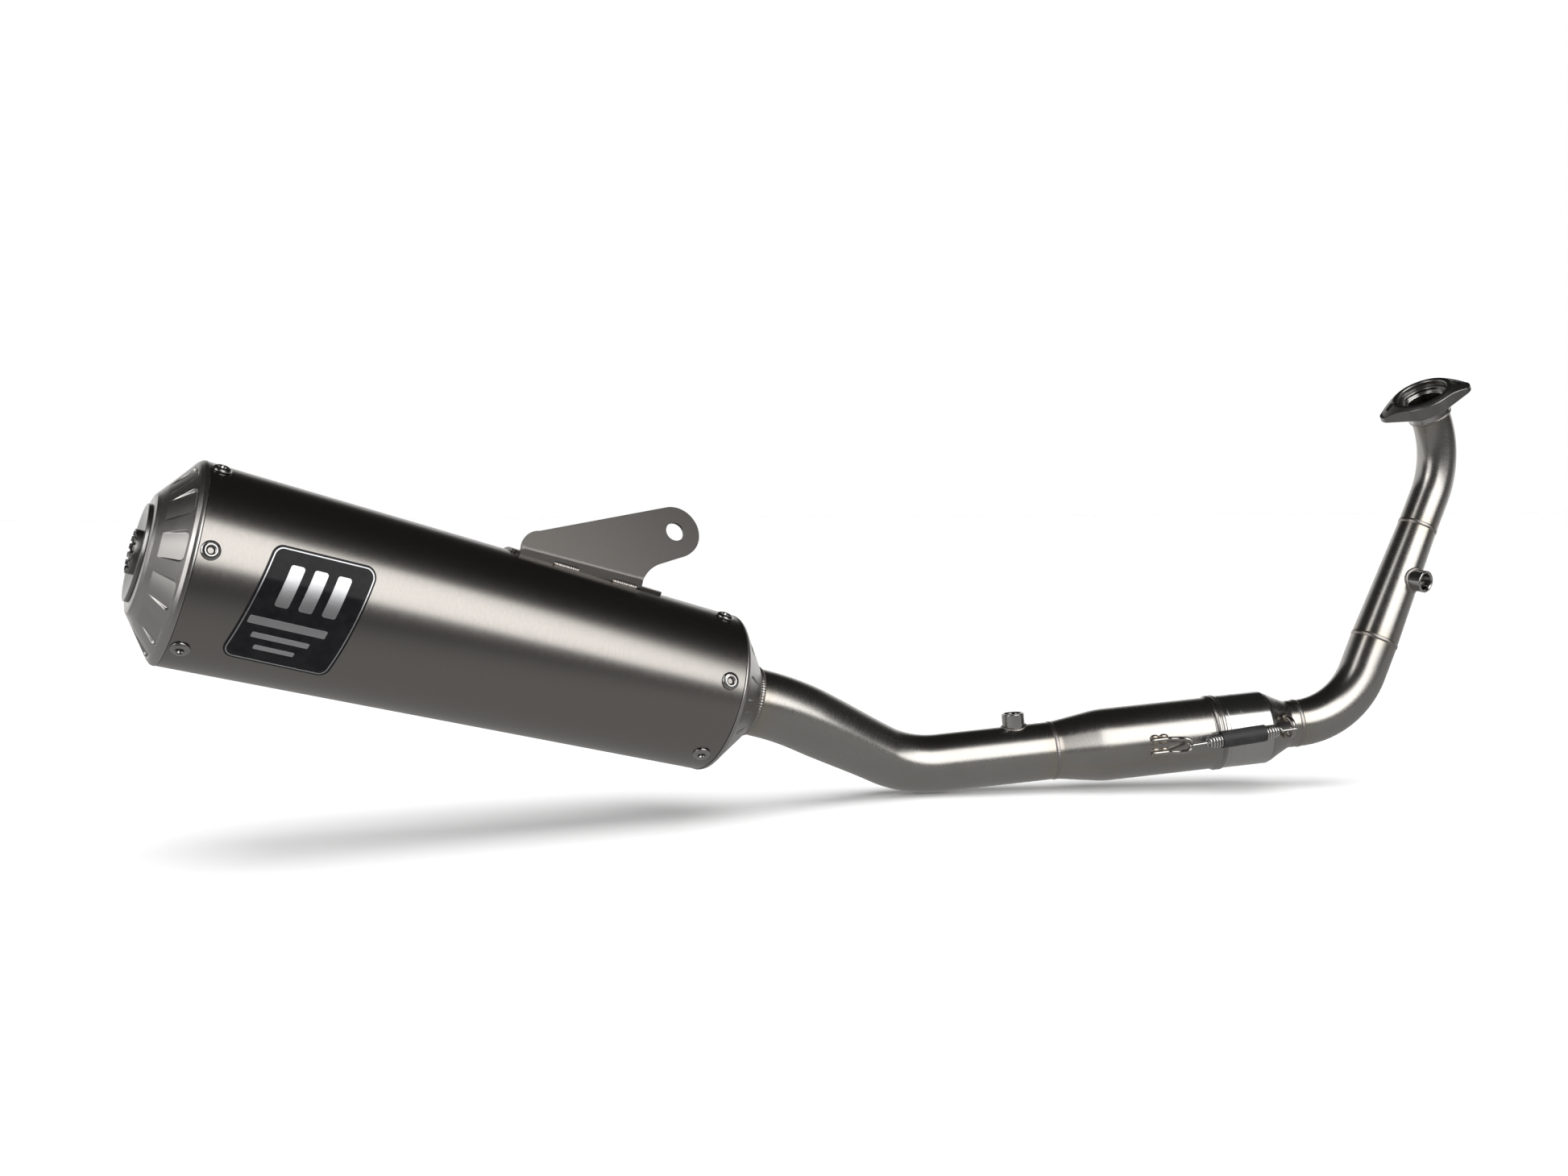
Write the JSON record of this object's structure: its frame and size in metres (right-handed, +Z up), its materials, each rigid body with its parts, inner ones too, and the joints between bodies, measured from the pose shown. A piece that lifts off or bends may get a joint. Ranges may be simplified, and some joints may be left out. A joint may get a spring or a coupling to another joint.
{
  "type": "exhaust muffler",
  "caption": "Small motorcycle exhaust: bent header with port flange, sprung slip joint, link pipe and tapered muffler with pocketed end caps and a hanger bracket.",
  "frame": {"origin": "centre of the mouth of the port collar's gasket seat, where the pipe meets the engine", "axes": "+X forward along the machine, +Z up, muffler trailing towards -X and swinging out towards -Y"},
  "size_m": [0.9294, 0.2267, 0.2959],
  "materials": {
    "pipe_steel": "satin brushed",
    "flange_steel": "polished, slightly dulled",
    "weld_metal": "rippled bead",
    "machined_steel": "turned and polished",
    "wire_steel": "drawn wire, satin",
    "spring_steel": "drawn wire, bright",
    "sleeve_rubber": "matt",
    "cap_metal": "fine bead-blasted satin",
    "sleeve_metal": "satin rolled sheet, warm grey",
    "core_steel": "mill finish",
    "packing_wool": "fibrous",
    "rivet_steel": "polished",
    "bracket_steel": "fine satin sheet",
    "badge_black": "gloss",
    "badge_silver": "bright satin"
  },
  "bodies": {
    "header": {"port_collar": "flange_steel", "header_upper_bend": "pipe_steel", "header_cone": "pipe_steel", "header_lower_bend": "pipe_steel", "header_sensor_boss": "machined_steel", "header_welds": "weld_metal", "chamber_cone": "pipe_steel", "slip_socket": "machined_steel", "header_spring_hook": "wire_steel"},
    "flange": {"port_flange": "flange_steel"},
    "muffler_unit": {"slip_spigot": "pipe_steel", "link_chamber": "pipe_steel", "link_cone": "pipe_steel", "link_pipe": "pipe_steel", "link_sensor_boss": "machined_steel", "link_spring_hook": "wire_steel", "link_welds": "weld_metal", "joint_spring": "spring_steel", "spring_rubber": "sleeve_rubber", "inlet_cap": "cap_metal", "outer_sleeve": "sleeve_metal", "outlet_cap": "cap_metal", "outlet_ring": "machined_steel", "outlet_tube": "machined_steel", "perforated_core": "core_steel", "core_end_plate": "core_steel", "rear_baffle": "core_steel", "sound_packing": "packing_wool", "front_rivets": "rivet_steel", "rear_rivets": "rivet_steel", "support_bracket": "bracket_steel", "bracket_welds": "weld_metal", "badge_plate": "badge_black", "badge_emblem": "badge_silver"}
  },
  "joints": [
    {"name": "slip_slide", "type": "slide", "parent": "header", "child": "muffler_unit", "axis": [-0.9964, 0, -0.0851], "range_m": [0, 0.02], "stiffness_N_per_m": 3500, "springref_m": -0.008, "deforming": ["joint_spring"]},
    {"name": "flange_turn", "type": "hinge", "parent": "header", "child": "flange", "pos_m": [0, 0, 0], "axis": [-0.4775, -0.2387, 0.8456], "continuous": true}
  ]
}
